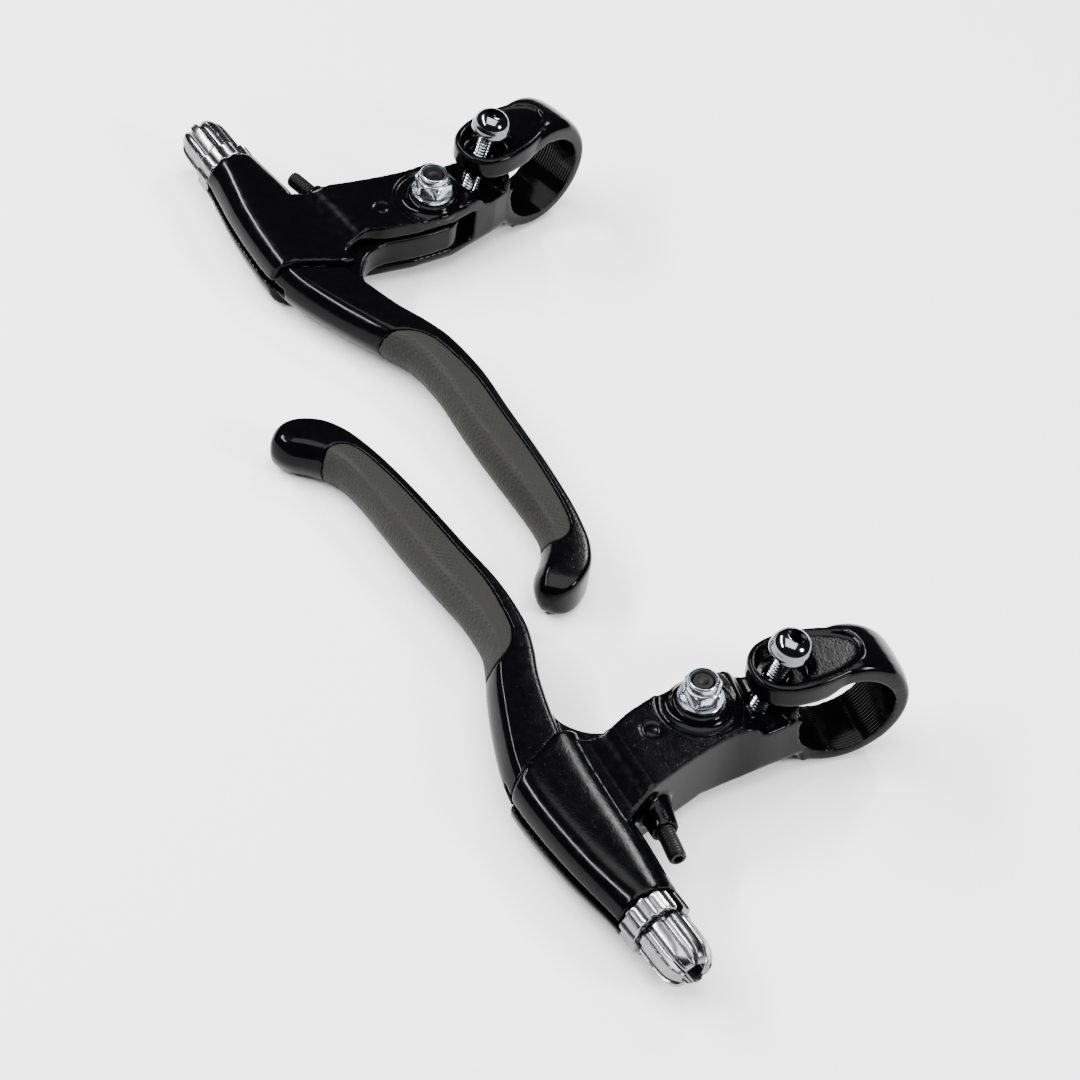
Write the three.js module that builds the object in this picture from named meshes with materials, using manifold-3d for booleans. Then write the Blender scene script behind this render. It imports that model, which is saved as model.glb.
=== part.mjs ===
// A pair of bicycle linear-pull brake levers, left and right, lying on a bench with their nuts up.
// Each lever is drawn once in its own frame, in millimetres: the origin is the centre of the
// handlebar bore, +X runs outboard along the bar, +Y runs forward from the bar to the blade, and
// +Z runs along the pivot bolt towards its nut. The right lever is the mirror image of the left.
import * as THREE from 'three';
import { mergeVertices } from 'three/addons/utils/BufferGeometryUtils.js';
import Module from 'manifold-3d';

const wasm = await Module();
wasm.setup();

// Gaps between pieces
const runningGap = 0.2; // between a shaft and its hole, and between stacked faces
const moldGap = 0.3; // between the rubber pad and the blade

// Handlebar clamp
const boreRadius = 11.1;
const clampWall = 4.2;
const clampOutboard = 7.2; // from the bore's middle to the outboard face
const clampInboard = 6.2;
const clampInboardLow = 2.6; // the band narrows towards its lowest line
const clampCrown = 1.5; // how far the band's outside falls away at its faces
const earTop = boreRadius + 4;
const earUnderside = boreRadius - 2.1;
const earRadius = 7.4;
const earWidth = 16.4;
const slitFloor = 2.8;
const pocketRadius = 6;
const pocketFloor = boreRadius + 0.3;

// Clamp bolt: its axis leans back towards the bar
const clampBoltRadius = 2.5;
const clampHeadRadius = 4.7;
const clampHeadHeight = 5;
const clampBoltLean = THREE.MathUtils.degToRad(17);
const clampBoltCentre = new THREE.Vector3(0, boreRadius + 3.1, earTop + 0.1); // its seat on the ear
const clampBoltStandOff = 2.4; // the bolt is left undone by this much
const clampBoltLength = 18 + clampBoltStandOff;
const clampHexAcross = 4;

// Pivot
const pivot = new THREE.Vector2(0.4, 32);
const pivotBoltRadius = 2.5;
const pivotHeadRadius = 4.2;
const pivotHeadHeight = 2.2;
const bushRadius = 3.8;
const eyeRadius = 7.4; // the blade's root round the pivot
const thrustWasherRadius = 5.9;
const thrustWasherThickness = 0.5;
const nutWasherRadius = 5;
const nutWasherThickness = 0.9;
const nutAcrossFlats = 8;
const nutHexHeight = 3.5;
const nutCollarRadius = 3.45;
const nutCollarHeight = 1.7;
const nutInsertWall = 0.45;

// Blade: the middle planes of its root and its grip lie a little below the bore's centre
const rootMiddle = -1.5;
const gripMiddle = -2;
const gripThickness = 11;
const rootThickness = 7;
const gripEdge = 2; // rounding of the grip's back edge
const gripFront = 3.8; // rounding of its front
const padRim = 2.5;
const tongueThickness = 5;
const tongueSetback = 3;

// Bracket arm and cable housing
const plateThickness = 3.9;
const bossRadius = 6.6;
const bossRise = 1.2;
const armChamfer = 2.6;
const housingEnd = new THREE.Vector3(-41.8, 58.5, -2.5);
const barrelTurn = THREE.MathUtils.degToRad(12.3); // the cable line against the handlebar
const cableSlot = 2.2;
const anchorX = -3;
const anchorRadius = 3.6;
const nippleHoleRadius = 2;
const cableGroove = 1.8; // across the groove in the anchor
const eyeRoom = 0.9; // round the blade's eye

// Cable adjuster
const stemRadius = 4.7;
const stemLength = 10;
const lockRingRadius = 7.2;
const lockRingLength = 5;
const barrelHeadRadius = 6;
const barrelHeadLength = 11.8;
const cableHoleRadius = 2.6;

// Reach screw
const reachScrewRadius = 2;
const reachScrewStart = -31.5;
const reachScrewY = 48;
const reachBossRadius = 4.3;
const reachHexAcross = 2;
const reachScrewTip = -7.05; // the blade's root rests against it

// Resting places of the two levers on the bench
const leftPlace = { x: 46.5, y: -78.7, turn: 118 };
const rightPlace = { x: -46.5, y: 78.7, turn: 143.5 };

const slotHalf = rootThickness / 2 + thrustWasherThickness + 2 * runningGap;
const plateTop = rootMiddle + slotHalf + plateThickness;
const bossTop = plateTop + bossRise;
const armBottom = 2 * rootMiddle - plateTop;
const clampRadius = boreRadius + clampWall;
const barrelAxis = new THREE.Vector3(-Math.cos(barrelTurn), -Math.sin(barrelTurn), 0);
const anchorY = housingEnd.y + (anchorX - housingEnd.x) * Math.tan(barrelTurn);
const clampBoltAxis = new THREE.Vector3(0, -Math.sin(clampBoltLean), Math.cos(clampBoltLean));
const clampBoltHead = clampBoltCentre.clone().addScaledVector(clampBoltAxis, clampBoltStandOff);

// ---- solids ----

function solid(geometry) {
  const bare = geometry.clone();
  bare.deleteAttribute('normal');
  bare.deleteAttribute('uv');
  const merged = mergeVertices(bare, 1e-4);
  return new wasm.Manifold(new wasm.Mesh({
    numProp: 3,
    vertProperties: new Float32Array(merged.attributes.position.array),
    triVerts: new Uint32Array(merged.index.array),
  }));
}

function geometryOf(body) {
  const mesh = body.getMesh();
  const geometry = new THREE.BufferGeometry();
  geometry.setAttribute('position', new THREE.BufferAttribute(mesh.vertProperties, 3));
  geometry.setIndex(new THREE.BufferAttribute(mesh.triVerts, 1));
  geometry.computeVertexNormals();
  return geometry;
}

// A plan outline raised from z = low to z = high, with an optional rounded edge
function slab(shape, low, high, edge = 0, curveSegments = 6) {
  const geometry = new THREE.ExtrudeGeometry(shape, {
    depth: high - low - 2 * edge,
    bevelEnabled: edge > 0,
    bevelThickness: edge,
    bevelSize: edge,
    bevelOffset: -edge,
    bevelSegments: 2,
    curveSegments,
  });
  return solid(geometry.translate(0, 0, low + edge));
}

// An outline in y and z, drawn out along x about the bore's middle
function crossSlab(shape, width, curveSegments = 12) {
  const geometry = new THREE.ExtrudeGeometry(shape, { depth: width, bevelEnabled: false, curveSegments });
  geometry.translate(0, 0, -width / 2);
  const axes = [new THREE.Vector3(0, 1, 0), new THREE.Vector3(0, 0, 1), new THREE.Vector3(1, 0, 0)];
  return solid(geometry.applyMatrix4(new THREE.Matrix4().makeBasis(...axes)));
}

function block(low, high) {
  const size = high.clone().sub(low);
  const middle = low.clone().add(high).multiplyScalar(0.5);
  return solid(new THREE.BoxGeometry(...size.toArray()).translate(...middle.toArray()));
}

// A round bar from a point, along an axis
function rod(radius, from, axis, length, segments = 24) {
  const geometry = new THREE.CylinderGeometry(radius, radius, length, segments);
  return solid(alongAxis(geometry.translate(0, length / 2, 0), from, axis));
}

function alongAxis(geometry, from, axis) {
  const turn = new THREE.Quaternion().setFromUnitVectors(new THREE.Vector3(0, 1, 0), axis);
  return geometry.applyQuaternion(turn).translate(...from.toArray());
}

// A turned piece: the profile holds radius and height pairs and closes on itself
function turned(profile, from, axis, segments = 24) {
  const points = [...profile, profile[0]].map(([radius, height]) => new THREE.Vector2(radius, height));
  return solid(alongAxis(new THREE.LatheGeometry(points, segments), from, axis));
}

function ring(inner, outer, low, high, from, axis, segments) {
  return turned([[inner, low], [outer, low], [outer, high], [inner, high]], from, axis, segments);
}

const up = new THREE.Vector3(0, 0, 1);
const inboard = new THREE.Vector3(-1, 0, 0);
const at = (x, y, z) => new THREE.Vector3(x, y, z);
const atPivot = (z) => at(pivot.x, pivot.y, z);
const flat = (pairs) => pairs.map(([x, y]) => new THREE.Vector2(x, y));

function hexPrism(across, from, axis, length) {
  return rod(across / Math.sqrt(3), from, axis, length, 6);
}

// ---- bracket ----

// The band round the bar with the ear over the clamp bolt
function clampBand() {
  const side = new THREE.Shape();
  const noseY = clampBoltCentre.y + earRadius;
  side.moveTo(0, earTop);
  side.lineTo(noseY - 3, earTop);
  side.quadraticCurveTo(noseY, earTop - 0.6, noseY, earTop - 3);
  side.lineTo(noseY - 1, earUnderside);
  side.lineTo(0, earUnderside);
  side.closePath();
  const edge = clampRadius - clampCrown;
  const band = turned([[0, -clampInboard], [edge, -clampInboard], [clampRadius - 0.4, 2 - clampInboard],
    [clampRadius, 5 - clampInboard], [clampRadius, clampOutboard - 5], [clampRadius - 0.4, clampOutboard - 2],
    [edge, clampOutboard], [0, clampOutboard]], at(0, 0, 0), at(1, 0, 0), 48);

  const plan = new THREE.Shape();
  plan.moveTo(clampOutboard - 1, 0);
  plan.quadraticCurveTo(earWidth / 2, 4, earWidth / 2, clampBoltCentre.y - 2);
  plan.absellipse(0, clampBoltCentre.y - 2, earWidth / 2, earRadius + 2, 0, Math.PI, false);
  plan.quadraticCurveTo(-earWidth / 2, 4, 1 - clampInboard, 0);
  plan.closePath();
  const ear = crossSlab(side, 2 * earWidth).intersect(slab(plan, -clampRadius, clampRadius + 1, 0, 10));
  const narrowing = new THREE.Shape(flat([
    [-clampInboard - 1, -clampRadius - 1], [-clampInboardLow, -clampRadius - 1],
    [-clampInboardLow, -clampRadius], [-clampInboard, clampRadius / 2], [-clampInboard - 1, clampRadius / 2],
  ]));
  const depth = 4 * clampRadius;
  const wedge = new THREE.ExtrudeGeometry(narrowing, { depth, bevelEnabled: false });
  const axes = [at(1, 0, 0), at(0, 0, 1), at(0, -1, 0)];
  wedge.applyMatrix4(new THREE.Matrix4().makeBasis(...axes)).translate(0, depth / 2, 0);
  return band.subtract(solid(wedge)).add(ear);
}

// The arm seen from above, from the clamp to the cable housing
function armPlan() {
  const plan = new THREE.Shape();
  plan.moveTo(-3.4, -2);
  plan.splineThru(flat([[-4.6, 6], [-6.8, 13], [-8.8, 20], [-9.8, 28], [-11.8, 34.5], [-15.4, 43], [-20, 52], [-24, 57]]));
  plan.lineTo(-12, 64);
  plan.lineTo(0.5, 64);
  plan.splineThru(flat([[1.3, 60.8], [-0.8, 57.5], [-0.6, 52.5], [2.3, 47.3], [5.2, 40.5], [7.4, 34], [8, 24]]));
  plan.lineTo(8, 17);
  plan.quadraticCurveTo(7.4, 9, 5.4, -2);
  plan.closePath();
  return plan;
}

// A plainer outline of the same arm, which carries the chamfer round its lower edge
function armChamferPlan() {
  return new THREE.Shape(flat([[5.4, -2], [8, 17], [8, 30], [5.2, 40.5], [0, 53], [1.5, 66], [-12, 66], [-25, 57.5],
    [-20, 52], [-11.8, 34.5], [-8.8, 20], [-3.4, -2]]));
}

// The arm seen from the side, in y and z
function armSide() {
  const side = new THREE.Shape();
  side.moveTo(0, -clampRadius);
  side.bezierCurveTo(6, -clampRadius + 0.6, 9, armBottom, 20, armBottom);
  side.lineTo(66, armBottom);
  side.lineTo(66, plateTop);
  side.lineTo(25, plateTop);
  side.quadraticCurveTo(22.5, plateTop - 0.3, 21, slitFloor + 0.6);
  side.lineTo(2, slitFloor);
  side.lineTo(0, 0);
  side.closePath();
  return side;
}

// The cable housing is lofted through upright sections: x, middle y, half depth, half height
const housingSections = [
  [-47, 57.4, 7.25, 7.25],
  [-38, 59.5, 7.9, 7.3],
  [-30, 61.6, 8.9, 7.4],
  [-20, 63.9, 9.6, 7.5],
  [-8, 66.1, 9.9, 7.7],
  [5, 67.2, 9.9, 7.8],
];

function loft(sections, around = 28) {
  const points = [];
  const triangles = [];
  const square = 0.8; // below one, a section is fuller than an ellipse
  sections.forEach(([x, y, depth, height]) => {
    for (let step = 0; step < around; step += 1) {
      const angle = (2 * Math.PI * step) / around;
      const across = Math.sign(Math.cos(angle)) * Math.abs(Math.cos(angle)) ** square;
      const rise = Math.sign(Math.sin(angle)) * Math.abs(Math.sin(angle)) ** square;
      points.push(x, y + depth * across, housingEnd.z + height * rise);
    }
  });
  const first = sections[0];
  const last = sections[sections.length - 1];
  points.push(first[0], first[1], housingEnd.z, last[0], last[1], housingEnd.z);
  const startHub = sections.length * around;
  for (let step = 0; step < around; step += 1) {
    const next = (step + 1) % around;
    const end = (sections.length - 1) * around;
    triangles.push(startHub, next, step, startHub + 1, end + step, end + next);
    for (let row = 0; row < end; row += around) {
      triangles.push(row + step, row + next, row + around + step);
      triangles.push(row + next, row + around + next, row + around + step);
    }
  }
  const geometry = new THREE.BufferGeometry();
  geometry.setAttribute('position', new THREE.Float32BufferAttribute(points, 3));
  geometry.setIndex(triangles);
  return solid(geometry);
}

// Everything beyond the housing's mouth, which faces outboard and forward
const mouthCorner = new THREE.Vector2(2.7, 62.1);
const mouthFront = new THREE.Vector2(-6.1, 73.9);

function beyondMouth(setback = 0) {
  const along = mouthFront.clone().sub(mouthCorner).normalize();
  const outward = new THREE.Vector2(along.y, -along.x);
  const start = mouthCorner.clone().addScaledVector(along, -150).addScaledVector(outward, setback);
  const end = mouthCorner.clone().addScaledVector(along, 150).addScaledVector(outward, setback);
  const far = [end.clone().addScaledVector(outward, 200), start.clone().addScaledVector(outward, 200)];
  return slab(new THREE.Shape([start, end, ...far].reverse()), -30, 30);
}

function housingBody() {
  const past = rod(30, housingEnd, barrelAxis, 40, 8);
  const beyondCorner = block(at(mouthCorner.x, 40, -30), at(40, 90, 30));
  return loft(housingSections).subtract(past).subtract(beyondMouth()).subtract(beyondCorner);
}

// Room for the blade's root and nose between the plates, open on the outboard side
function rootRoom() {
  const plan = new THREE.Shape();
  const reach = eyeRadius + eyeRoom;
  plan.moveTo(20, pivot.y - reach);
  plan.lineTo(pivot.x, pivot.y - reach);
  plan.absarc(pivot.x, pivot.y, reach, -Math.PI / 2, -Math.PI, true);
  plan.splineThru(flat([[-7.5, 40], [-7, 48], [-9.4, 57], [-10.8, 64], [-10.2, 69.5]]));
  plan.lineTo(-7.6, 74);
  plan.lineTo(6, 74.2);
  plan.lineTo(20, 70);
  plan.closePath();
  return slab(plan, rootMiddle - slotHalf, rootMiddle + slotHalf);
}

function bracket() {
  const boreSpan = 40;
  const arm = slab(armPlan(), armBottom - 6, plateTop + 2, 0, 5).intersect(crossSlab(armSide(), 80, 6));
  const chamfered = slab(armChamferPlan(), armBottom, plateTop + 8, armChamfer, 5);
  const clampEnd = block(at(-20, -20, -20), at(20, 9, 20));
  const boss = rod(bossRadius, atPivot(plateTop - 1), up, bossRise + 1, 28);
  const reachBoss = rod(reachBossRadius, at(-12, reachScrewY, rootMiddle), inboard, 12, 20);
  const headRecess = pivotHeadHeight + runningGap;
  const threadDepth = 30; // right through the arm
  const slotLow = housingEnd.z - cableSlot / 2;
  const boltHole = clampBoltRadius + runningGap;
  const cuts = [
    rod(boreRadius, at(-boreSpan / 2, 0, 0), at(1, 0, 0), boreSpan, 48),
    block(at(-20, 2, slitFloor + 0.001), at(20, 12, earUnderside)),
    rod(pocketRadius, at(0, clampBoltCentre.y, pocketFloor), up, 20, 28),
    rod(boltHole, clampBoltCentre.clone().addScaledVector(clampBoltAxis, -threadDepth), clampBoltAxis, 40, 20),
    rootRoom(),
    rod(pivotBoltRadius + runningGap, atPivot(-30), up, 60, 20),
    rod(pivotHeadRadius + runningGap, atPivot(-30), up, 30 + armBottom + headRecess, 24),
    rod(stemRadius + runningGap, housingEnd.clone().addScaledVector(barrelAxis, 5), barrelAxis.clone().negate(), 18, 24),
    rod(cableHoleRadius, housingEnd, barrelAxis.clone().negate(), 40, 16),
    block(at(-70, housingEnd.y, slotLow), at(5, 90, slotLow + cableSlot)),
    rod(reachScrewRadius + runningGap, at(0, reachScrewY, rootMiddle), inboard, 40, 16),
  ];
  let body = clampBand().add(arm.intersect(chamfered.add(clampEnd))).add(boss).add(reachBoss).add(housingBody());
  for (const cut of cuts) body = body.subtract(cut);
  return body;
}

// ---- blade and pad ----

const frontEdge = [[10, 74.2], [20, 72], [27, 69.9], [33, 68.9], [40, 69.4], [50, 72.3], [60, 75.1], [70, 77.6],
  [80, 79.9], [89, 82.2]];
const backEdge = [[100, 76.8], [90, 72.4], [80, 69], [70, 66], [60, 63.2], [48, 59.7], [36, 58.1], [28, 58.7],
  [20, 60.3], [10, 61.8]];

// The grip seen from above, from the housing's mouth to the button at its tip
function gripPlan(backset = 0) {
  const plan = new THREE.Shape();
  plan.moveTo(-12, 75.4);
  plan.lineTo(0, 75.8);
  plan.splineThru(flat(frontEdge));
  plan.splineThru(flat([[94, 84.8], [97.2, 89.8], [99.4, 93.6], [103, 95.5], [106.6, 94.4], [108.6, 90.5],
    [108, 85.5 - backset / 3], [105 + backset / 2, 80.8 - backset / 2]]));
  plan.splineThru(flat(backEdge.map(([x, y]) => [x + backset / 3, y - backset])));
  plan.lineTo(-6, 63 - backset);
  plan.closePath();
  return plan;
}

// The thinner root between the plates, with the eye round the pivot and the nose in the housing
function rootPlan() {
  const plan = new THREE.Shape();
  plan.moveTo(pivot.x + eyeRadius, pivot.y);
  plan.splineThru(flat([[6.4, 38], [4.6, 43], [2.4, 48.5], [1.6, 53], [3, 57.5], [7, 61], [14, 61.6]]));
  plan.lineTo(14, 72);
  plan.lineTo(-5.6, 72.6);
  plan.quadraticCurveTo(-9.2, 71.5, -9.6, 67);
  plan.splineThru(flat([[-9.8, 63], [-8.6, 57], [-6.3, 48], [-6.6, 40], [pivot.x - eyeRadius, pivot.y]]));
  plan.absarc(pivot.x, pivot.y, eyeRadius, Math.PI, 2 * Math.PI, false);
  return plan;
}

// The part of the grip that the rubber covers, open towards the front
function padPlan(inset = 0) {
  const rim = backEdge.slice(1, 8).map(([x, y]) => [x, y + padRim + inset]).reverse();
  const plan = new THREE.Shape();
  plan.moveTo(24.5 + inset, 90);
  plan.lineTo(24.5 + inset, 74);
  plan.quadraticCurveTo(25.5 + inset, 64.5, rim[0][0] + 4 + inset, rim[0][1] + 1.6);
  plan.splineThru(flat(rim.slice(1)));
  plan.quadraticCurveTo(97.5 - inset, 78.6, 97 - inset, 83);
  plan.lineTo(95 - inset, 90);
  plan.closePath();
  return plan;
}

// The blade's core inside the pad
function tonguePlan(grow = 0) {
  const front = frontEdge.slice(2).map(([x, y]) => [x, y - tongueSetback + grow]);
  const plan = new THREE.Shape();
  plan.moveTo(20, 66 + grow);
  plan.lineTo(28 - grow, front[0][1]);
  plan.splineThru(flat(front.slice(1, -1)));
  plan.lineTo(92 + grow, 79 + grow);
  plan.lineTo(96 + grow, 75 + grow);
  plan.splineThru(flat(backEdge.slice(1, 8).map(([x, y]) => [x, y + 1])));
  plan.closePath();
  return plan;
}

const gripLow = gripMiddle - gripThickness / 2;
const gripHigh = gripMiddle + gripThickness / 2;
const tongueLow = gripMiddle - tongueThickness / 2;
const tongueHigh = gripMiddle + tongueThickness / 2;

// The back edge is only eased, and the front is nearly half round
function gripBody() {
  const eased = slab(gripPlan(), gripLow, gripHigh, gripEdge, 3);
  return eased.intersect(slab(gripPlan(gripFront), gripLow, gripHigh, gripFront, 3));
}

function blade() {
  const grip = gripBody().intersect(beyondMouth(0.4));
  const padRoom = slab(padPlan(), gripLow - 1, gripHigh + 1, 0, 5);
  const tongue = slab(tonguePlan(), tongueLow, tongueHigh, 0, 4);
  const root = slab(rootPlan(), rootMiddle - rootThickness / 2, rootMiddle + rootThickness / 2, 0, 5);
  const anchorHole = rod(anchorRadius + runningGap, at(anchorX, anchorY, -30), up, 60, 20);
  const cableGroove = block(at(-20, anchorY - 1.2, housingEnd.z - 1.3), at(anchorX, 90, housingEnd.z + 1.3));
  const pivotHole = rod(bushRadius + runningGap, atPivot(-30), up, 60, 24);
  return grip.subtract(padRoom).add(tongue).add(root)
    .subtract(anchorHole).subtract(cableGroove).subtract(pivotHole);
}

function gripPad() {
  const room = slab(padPlan(moldGap), gripLow - 1, gripHigh + 1, 0, 5);
  const core = slab(tonguePlan(moldGap), tongueLow - moldGap, tongueHigh + moldGap, 0, 4);
  return gripBody().intersect(room).subtract(core);
}

// ---- turned and bought pieces ----

function pivotBolt() {
  const headLow = armBottom;
  const end = bossTop + nutWasherThickness + 2 * runningGap + nutHexHeight + nutCollarHeight - 0.6;
  const shaft = rod(pivotBoltRadius, atPivot(headLow + 1), up, end - headLow - 1, 20);
  const socket = hexPrism(3, atPivot(headLow - 1), up, 2.4);
  return rod(pivotHeadRadius, atPivot(headLow), up, pivotHeadHeight, 24).add(shaft).subtract(socket);
}

const nutLow = bossTop + nutWasherThickness + 2 * runningGap;
const nutTop = nutLow + nutHexHeight + nutCollarHeight;
const insertOuter = pivotBoltRadius + runningGap + nutInsertWall;

function pivotNut() {
  const hex = hexPrism(nutAcrossFlats, atPivot(nutLow), up, nutHexHeight);
  const chamfer = turned([[0, 0], [4, 0], [4.7, 0.7], [4.7, 2.6], [3.8, nutHexHeight], [0, nutHexHeight]],
    atPivot(nutLow), up);
  const collar = rod(nutCollarRadius, atPivot(nutLow + 1), up, nutTop - nutLow - 1, 24);
  const insertRoom = rod(insertOuter + 0.1, atPivot(nutTop - nutCollarHeight), up, 5, 24);
  const hole = rod(pivotBoltRadius + runningGap, atPivot(-30), up, 60, 20);
  return hex.intersect(chamfer).add(collar).subtract(hole).subtract(insertRoom);
}

function pivotWasher() {
  const low = bossTop + runningGap;
  return ring(pivotBoltRadius + runningGap, nutWasherRadius, low, low + nutWasherThickness, atPivot(0), up);
}

function nutInsert() {
  const low = nutTop - nutCollarHeight + 0.15;
  return ring(pivotBoltRadius + 0.1, insertOuter, low, nutTop - 0.3, atPivot(0), up);
}

function thrustWasher(side) {
  const face = rootThickness / 2 + runningGap;
  const levels = [rootMiddle + side * face, rootMiddle + side * (face + thrustWasherThickness)];
  const inner = pivotBoltRadius + runningGap;
  return ring(inner, thrustWasherRadius, Math.min(...levels), Math.max(...levels), atPivot(0), up);
}

function pivotBush() {
  const half = rootThickness / 2;
  const inner = pivotBoltRadius + runningGap;
  return ring(inner, bushRadius, rootMiddle - half, rootMiddle + half, atPivot(0), up);
}

function clampBolt() {
  const shank = rod(clampBoltRadius, at(0, 1 - clampBoltLength, 0), at(0, 1, 0), clampBoltLength, 20);
  const head = turned([[0, 0], [clampHeadRadius - 0.3, 0], [clampHeadRadius, 0.4], [clampHeadRadius, 2.4],
    [4.2, 3.8], [3.2, clampHeadHeight], [0, clampHeadHeight]], at(0, 0, 0), at(0, 1, 0), 28);
  const socket = hexPrism(clampHexAcross, at(0, clampHeadHeight - 2.8, 0), at(0, 1, 0), 4);
  return shank.add(head).subtract(socket);
}

// A round piece with evenly spaced flutes down its side, drawn along +Y
function fluted(profile, flutes, fluteRadius, fluteCentre, length) {
  let body = turned(profile, at(0, 0, 0), at(0, 1, 0), 32);
  for (let turn = 0; turn < flutes; turn += 1) {
    const angle = (2 * Math.PI * (turn + 0.5)) / flutes;
    const foot = at(fluteCentre * Math.cos(angle), -0.5, fluteCentre * Math.sin(angle));
    body = body.subtract(rod(fluteRadius, foot, at(0, 1, 0), length + 1, 8));
  }
  return body;
}

function adjusterBarrel() {
  const low = lockRingLength + 3 * runningGap;
  const high = barrelHeadLength;
  const head = fluted([[0, 0], [barrelHeadRadius, 0], [barrelHeadRadius, high - 3],
    [barrelHeadRadius - 1.2, high - 0.8], [barrelHeadRadius - 2.4, high], [0, high]], 8, 1.5, 6.7, high);
  const stem = rod(stemRadius, at(0, -low - stemLength, 0), at(0, 1, 0), low + stemLength + 1, 24);
  const hole = rod(cableHoleRadius, at(0, -40, 0), at(0, 1, 0), 80, 16);
  const slot = block(at(0, -40, -cableSlot / 2), at(20, 40, cableSlot / 2));
  return head.add(stem).subtract(hole).subtract(slot).translate([0, low, 0]);
}

function lockRing() {
  const radius = lockRingRadius;
  const body = fluted([[0, 0], [radius - 0.5, 0], [radius, 0.5], [radius, lockRingLength - 0.5],
    [radius - 0.5, lockRingLength], [0, lockRingLength]], 12, 0.9, 7.6, lockRingLength);
  const hole = rod(stemRadius + runningGap, at(0, -10, 0), at(0, 1, 0), 40, 24);
  const slot = block(at(0, -10, -cableSlot / 2), at(20, 20, cableSlot / 2));
  return body.subtract(hole).subtract(slot).translate([0, runningGap, 0]);
}

function reachScrew() {
  const socket = hexPrism(reachHexAcross, at(reachScrewStart - 1, 0, 0), at(1, 0, 0), 3.5);
  return rod(reachScrewRadius, at(reachScrewStart, 0, 0), at(1, 0, 0), reachScrewTip - reachScrewStart, 16).subtract(socket);
}

function cableAnchor() {
  const half = rootThickness / 2;
  const body = rod(anchorRadius, at(0, 0, -half), up, 2 * half, 20);
  const nippleHole = rod(nippleHoleRadius, at(0, 0, -30), up, 60, 12);
  const line = housingEnd.z - rootMiddle;
  const groove = block(at(-10, -cableGroove / 2, line - 1), at(0, cableGroove / 2, line + 1));
  return body.subtract(nippleHole).subtract(groove);
}

// ---- materials ----

const finish = (color, roughness, metalness) => new THREE.MeshStandardMaterial({ color, roughness, metalness });
const blackEnamel = finish(0x0b0c0e, 0.22, 0.1);
const rubber = finish(0x494944, 0.85, 0);
const zinc = finish(0xb9bcc0, 0.32, 1);
const chrome = finish(0xc9ccd0, 0.12, 1);
const aluminium = finish(0xb4b5b7, 0.35, 1);
const blackSteel = finish(0x1a1a1c, 0.45, 0.8);
const nylon = finish(0x1d1f22, 0.6, 0);
const brass = finish(0xb08d4a, 0.3, 1);

// ---- one lever ----

function leverPieces() {
  const turnTo = (axis) => new THREE.Quaternion().setFromUnitVectors(at(0, 1, 0), axis);
  const upright = new THREE.Quaternion();
  const still = at(0, 0, 0);
  return [
    ['bracket', bracket(), blackEnamel, still, upright],
    ['lever_blade', blade(), blackEnamel, still, upright],
    ['grip_pad', gripPad(), rubber, still, upright],
    ['pivot_bolt', pivotBolt(), zinc, still, upright],
    ['pivot_nut', pivotNut(), zinc, still, upright],
    ['nut_insert', nutInsert(), nylon, still, upright],
    ['pivot_washer', pivotWasher(), zinc, still, upright],
    ['upper_thrust_washer', thrustWasher(1), zinc, still, upright],
    ['lower_thrust_washer', thrustWasher(-1), zinc, still, upright],
    ['pivot_bush', pivotBush(), brass, still, upright],
    ['clamp_bolt', clampBolt(), chrome, clampBoltHead, turnTo(clampBoltAxis)],
    ['adjuster_barrel', adjusterBarrel(), aluminium, housingEnd, turnTo(barrelAxis)],
    ['adjuster_lock_ring', lockRing(), aluminium, housingEnd, turnTo(barrelAxis)],
    ['reach_screw', reachScrew(), blackSteel, at(0, reachScrewY, rootMiddle), upright],
    ['cable_anchor', cableAnchor(), zinc, at(anchorX, anchorY, rootMiddle), upright],
  ];
}

// The lever rests on the clamp's lowest line, the underside of the housing and the tip of the blade
const housingFoot = new THREE.Vector2(68, housingSections[4][3] - housingEnd.z); // forward and down
const tipFoot = new THREE.Vector3(104, 91, -gripLow); // outboard, forward and down
const restTilt = Math.asin(clampRadius / housingFoot.length()) - Math.atan2(housingFoot.y, housingFoot.x);
const tipDrop = tipFoot.y * Math.sin(restTilt) + tipFoot.z * Math.cos(restTilt);
const restRoll = Math.atan2(clampRadius - tipDrop, tipFoot.x);
const pieces = leverPieces();

function lever(side, mirrored, place) {
  const group = new THREE.Group();
  for (const [name, body, material, position, turn] of pieces) {
    const mesh = new THREE.Mesh(geometryOf(body), material);
    mesh.name = `${side}_${name}`;
    mesh.position.copy(position);
    mesh.quaternion.copy(turn);
    group.add(mesh);
  }
  const tilted = new THREE.Group();
  tilted.add(group);
  tilted.rotation.set(-restTilt, restRoll, 0);
  const placed = new THREE.Group();
  placed.add(tilted);
  if (mirrored) placed.scale.x = -1;
  placed.rotation.z = THREE.MathUtils.degToRad(place.turn);
  placed.position.set(place.x, place.y, clampRadius);
  return placed;
}

const pair = new THREE.Group();
pair.add(lever('left', false, leftPlace), lever('right', true, rightPlace));

// The origin is the middle of the pair's footprint, on the bench
pair.updateMatrixWorld(true);
const bounds = new THREE.Box3().setFromObject(pair, true);
const middle = bounds.getCenter(new THREE.Vector3());
pair.position.set(-middle.x, -middle.y, -bounds.min.z);

export default pair;
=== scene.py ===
# A left and a right bicycle brake lever lying on a bench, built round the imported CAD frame.
# Each piece is modelled once in the lever's own frame, in millimetres: the origin is the middle of
# the handlebar bore, +X runs outboard, +Y forward to the blade and +Z along the pivot to its nut.
import math
import bmesh
import bpy
from mathutils import Matrix, Vector


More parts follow.
